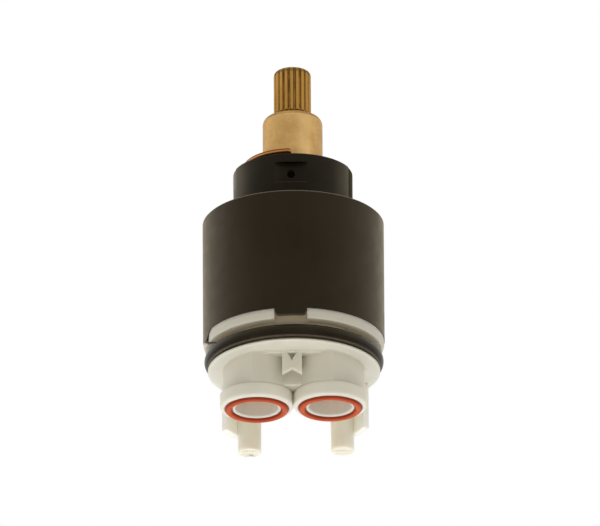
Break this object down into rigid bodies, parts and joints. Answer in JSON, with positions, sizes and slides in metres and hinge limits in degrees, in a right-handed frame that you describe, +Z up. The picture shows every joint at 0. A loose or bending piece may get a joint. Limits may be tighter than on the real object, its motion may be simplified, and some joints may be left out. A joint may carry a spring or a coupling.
{
  "type": "mixer tap cartridge",
  "caption": "Single-spindle mixer tap cartridge: splined brass stem, dark housing with stepped neck, white base with inlet ports, ring seals and locating pegs.",
  "frame": {"origin": "on the spindle axis, level with the tips of the two locating pegs, which is the centre of the bounding box's lowest face", "axes": "+Z up the spindle towards the splined end; +X towards the hot port; -Y towards the ports, so the locating pegs are at +Y"},
  "size_m": [0.039, 0.039, 0.0843],
  "materials": {
    "housing_plastic": "dark brown-black moulded nylon, matte",
    "neck_plastic": "black moulded plastic, satin",
    "stem_brass": "bare turned and tumbled brass",
    "plate_bronze": "copper-coloured bronze sheet, pressed",
    "white_plastic": "off-white moulded acetal",
    "washer_plastic": "white low-friction plastic sheet",
    "driver_plastic": "grey moulded acetal",
    "disc_ceramic": "lapped white alumina",
    "black_rubber": "black nitrile rubber",
    "red_rubber": "red-brown silicone rubber"
  },
  "bodies": {
    "cartridge_body": {"housing": "housing_plastic", "neck_guide": "neck_plastic", "guide_oring": "black_rubber", "stem_bush": "white_plastic", "driver_washer": "washer_plastic", "fixed_disc": "disc_ceramic", "cold_gasket": "black_rubber", "hot_gasket": "black_rubber", "outlet_gasket": "black_rubber", "base": "white_plastic", "base_oring": "black_rubber", "port_seal_cold": "red_rubber", "port_seal_hot": "red_rubber"},
    "spindle": {"stem": "stem_brass", "stop_plate": "plate_bronze", "stem_oring_lower": "black_rubber", "stem_oring_upper": "black_rubber", "stem_washer": "washer_plastic", "disc_driver": "driver_plastic", "driver_seal": "black_rubber", "moving_disc": "disc_ceramic"}
  },
  "joints": [
    {"name": "stem_turn", "type": "hinge", "parent": "cartridge_body", "child": "spindle", "pos_m": [0, 0, 0.0455], "axis": [0, 0, 1], "range_deg": [0, 130]}
  ]
}
